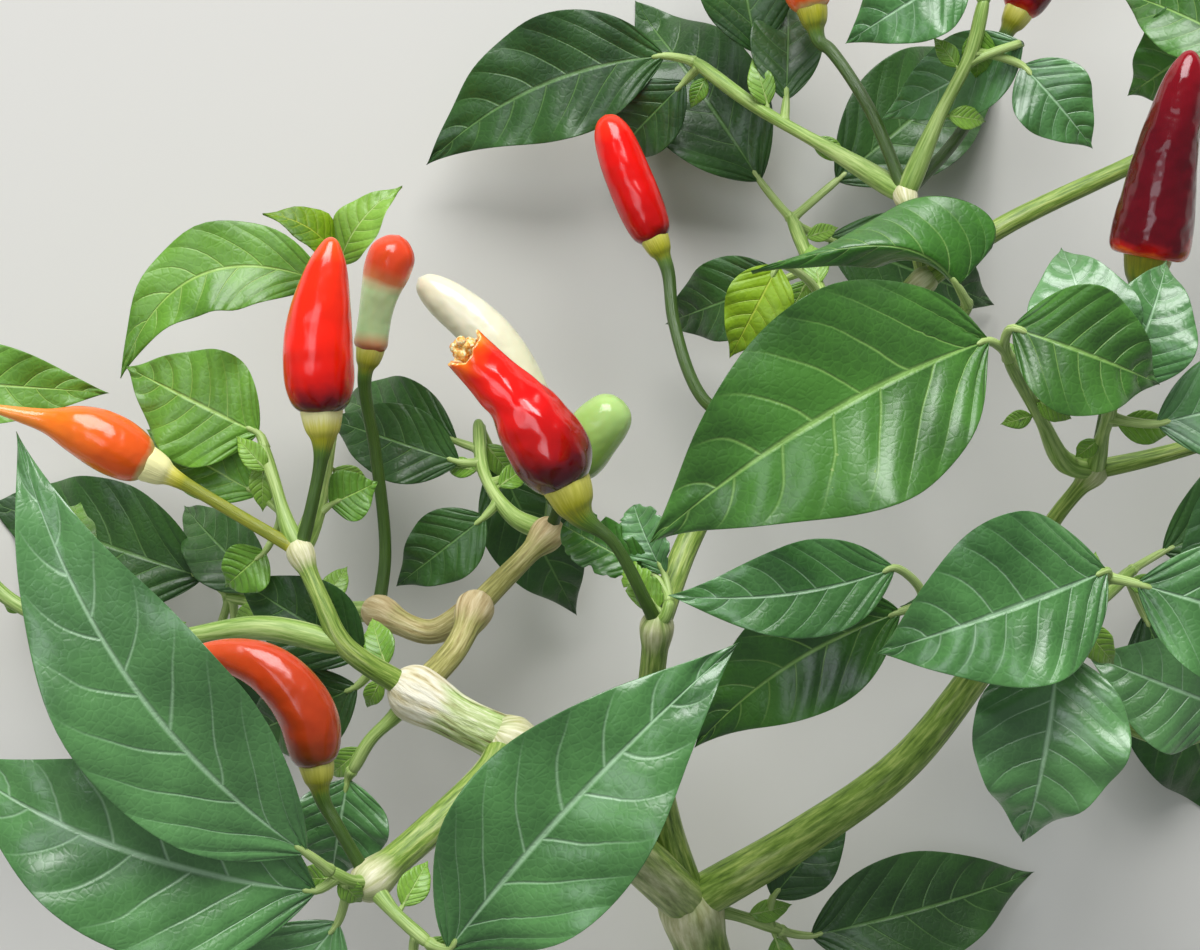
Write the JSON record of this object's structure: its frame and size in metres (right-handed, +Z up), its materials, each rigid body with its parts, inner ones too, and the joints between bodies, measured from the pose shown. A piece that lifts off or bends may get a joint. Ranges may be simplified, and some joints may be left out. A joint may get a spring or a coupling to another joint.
{
  "type": "chili pepper branch",
  "caption": "Cut branch of a chili pepper plant lying on its back, with forked green stems, upright red, orange and ivory fruits on stalks, and sprays of lance-shaped leaves.",
  "frame": {"origin": "on the ground under the middle of the branch's box", "axes": "+Z up from the ground the branch lies on, +Y from the cut end towards the far shoots, +X to the right"},
  "size_m": [0.2668, 0.2202, 0.1096],
  "materials": {
    "green_bark": "smooth green bark with fine lengthwise streaks",
    "corky_bark": "pale corky bark with tan ridges",
    "calyx": "green fruit stalk with a pale calyx",
    "fruit_red": "glossy ripe skin",
    "fruit_deep_red": "glossy ripe skin, bitten open at the tip",
    "fruit_crimson": "glossy overripe skin",
    "fruit_ivory": "glossy unripe skin",
    "fruit_orange_red": "glossy half ripe skin",
    "fruit_orange": "glossy half ripe skin",
    "fruit_green": "glossy unripe skin",
    "leaf": "smooth leaf with raised veins, paler below"
  },
  "bodies": {
    "root": {"main_stem": "green_bark", "left_bough": "green_bark", "centre_bough": "green_bark", "right_bough": "green_bark", "corky_limb": "corky_bark", "near_limb": "green_bark", "left_limb": "green_bark", "back_limb": "green_bark", "far_limb": "green_bark", "shade_limb": "green_bark", "upper_limb": "green_bark", "outer_limb": "green_bark", "top_limb": "green_bark", "low_right_limb": "green_bark", "right_limb": "green_bark", "fruit_upright_red": "fruit_red", "fruit_bitten_red": "fruit_deep_red", "fruit_cream": "fruit_ivory", "fruit_turning": "fruit_orange_red", "fruit_orange": "fruit_orange", "fruit_low_orange": "fruit_orange_red", "fruit_high_red": "fruit_red", "fruit_dark_crimson": "fruit_crimson", "fruit_top_orange": "fruit_orange_red", "fruit_top_dark_red": "fruit_crimson", "fruit_young_green": "fruit_green", "stalk_upright_red": "calyx", "stalk_bitten_red": "calyx", "stalk_cream": "calyx", "stalk_turning": "calyx", "stalk_orange": "calyx", "stalk_low_orange": "calyx", "stalk_high_red": "calyx", "stalk_dark_crimson": "calyx", "stalk_top_orange": "calyx", "stalk_top_dark_red": "calyx", "stalk_young_green": "calyx", "spray_behind_fruit": "leaf", "spray_left_near": "leaf", "spray_left_edge": "leaf", "spray_low_left": "leaf", "spray_low_front": "leaf", "spray_hanging_leaf": "leaf", "spray_shaded_leaf": "leaf", "spray_centre": "leaf", "spray_right_low": "leaf", "spray_right_front": "leaf", "spray_right_arch": "leaf", "spray_right_top": "leaf", "spray_right_end": "leaf", "spray_right_edge": "leaf", "spray_outer_end": "leaf", "spray_folded_leaf": "leaf", "spray_top_left": "leaf", "spray_top_right": "leaf", "spray_low_right": "leaf", "spray_middle": "leaf", "spray_left_ground": "leaf", "spray_right_ground": "leaf", "spray_top_ground": "leaf"}
  },
  "joints": []
}
